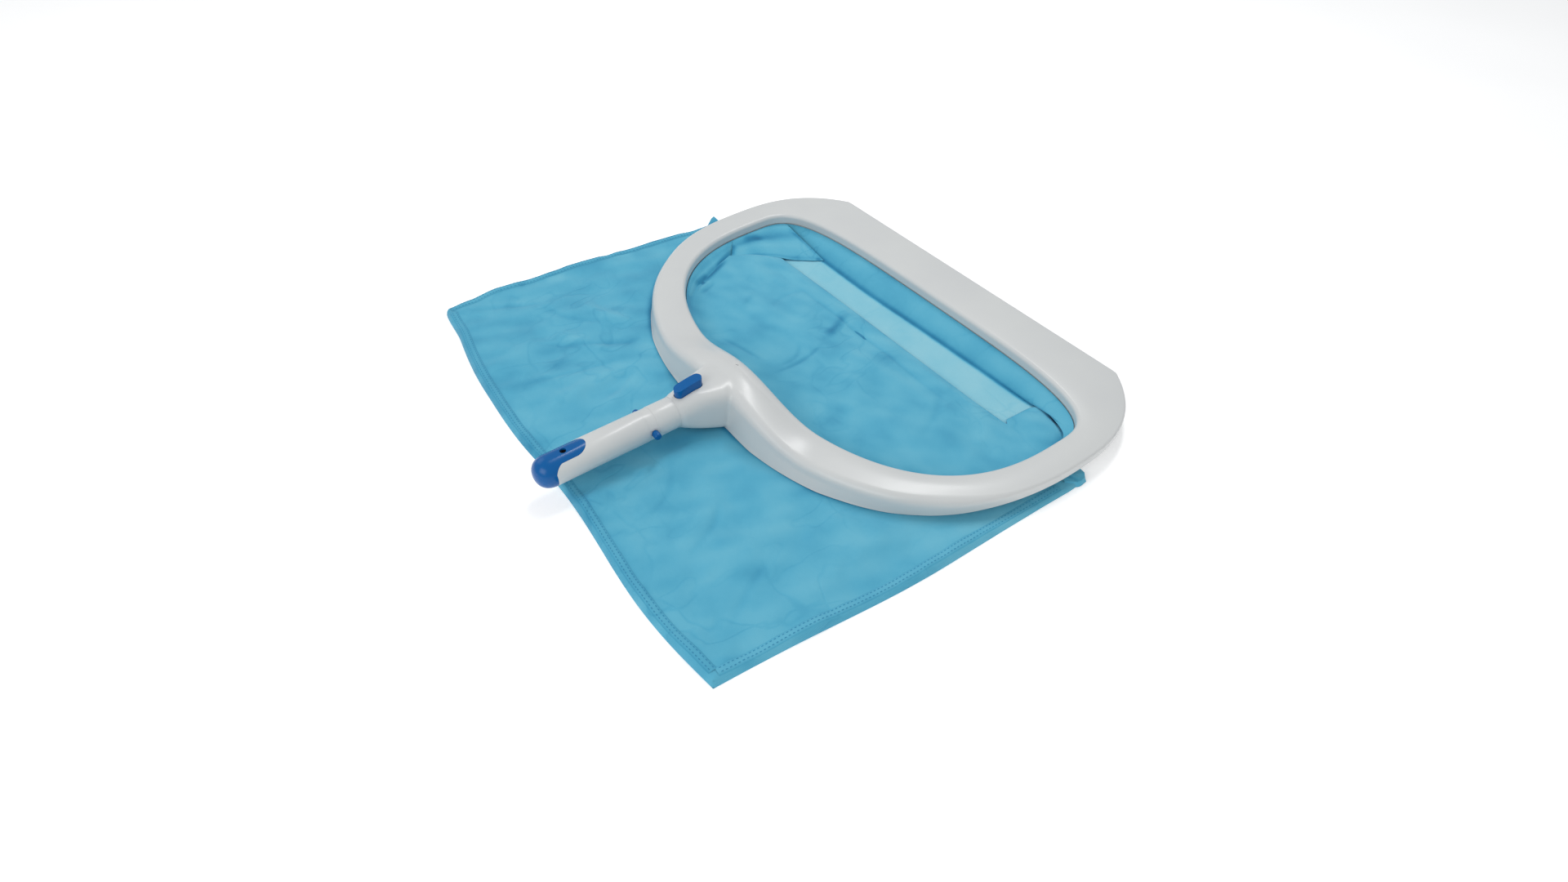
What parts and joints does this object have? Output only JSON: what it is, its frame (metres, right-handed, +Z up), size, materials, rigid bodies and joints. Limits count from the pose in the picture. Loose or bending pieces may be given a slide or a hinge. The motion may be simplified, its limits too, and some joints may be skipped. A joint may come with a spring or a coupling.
{
  "type": "leaf skimmer net",
  "caption": "Pool leaf skimmer: moulded D-frame with a flat front lip, a snap-lock handle for a telescopic pole, and a fine mesh bag clamped under the mouth.",
  "frame": {"origin": "on the handle's axis, halfway along the plain shank that the pole covers", "axes": "+Y points from the handle to the flat front lip, +Z is up when the skimmer lies on its bag, +X is across the frame"},
  "size_m": [0.5545, 0.488, 0.0558],
  "materials": {
    "white_plastic": "smooth gloss injection moulding",
    "blue_plastic": "smooth gloss injection moulding",
    "net": "fine woven polyester mesh, light blue",
    "seam_tape": "folded and stitched mesh hem",
    "steel": "bright stainless",
    "black_steel": "black oxide"
  },
  "bodies": {
    "skimmer": {"frame": "white_plastic", "handle_tube": "white_plastic", "tube_screw": "steel", "end_cap": "blue_plastic", "end_cap_screw": "black_steel", "button_spring": "steel", "lock_guide": "blue_plastic", "pin_spring": "steel", "hub_cover": "white_plastic", "hub_cover_screws": "steel", "clamp_ring": "white_plastic", "clamp_screws": "steel", "bag_bead_cord": "seam_tape", "bag_mouth_band": "net", "bag_upper_panel": "net", "bag_lower_panel": "net", "bag_side_seams": "seam_tape", "bag_end_seam": "seam_tape"},
    "button": {"release_button": "blue_plastic"},
    "slider": {"cam_slider": "blue_plastic"},
    "pin_left": {"snap_pin_left": "blue_plastic"},
    "pin_right": {"snap_pin_right": "blue_plastic"}
  },
  "joints": [
    {"name": "button_press", "type": "slide", "parent": "skimmer", "child": "button", "axis": [0, 0, -1], "range_m": [0, 0.004], "stiffness_N_per_m": 800, "springref_m": -0.003, "deforming": ["button_spring", "pin_spring"]},
    {"name": "slider_slide", "type": "slide", "parent": "skimmer", "child": "slider", "axis": [0, -1, 0], "range_m": [0, 0.006]},
    {"name": "pin_right_slide", "type": "slide", "parent": "skimmer", "child": "pin_right", "axis": [-1, 0, 0], "range_m": [0, 0.006]},
    {"name": "pin_left_slide", "type": "slide", "parent": "skimmer", "child": "pin_left", "axis": [1, 0, 0], "range_m": [0, 0.006]}
  ],
  "couplings": [
    {"joint": "slider_slide", "follows": "button_press", "ratio": 1.5},
    {"joint": "pin_right_slide", "follows": "button_press", "ratio": 1.5},
    {"joint": "pin_left_slide", "follows": "button_press", "ratio": 1.5}
  ]
}
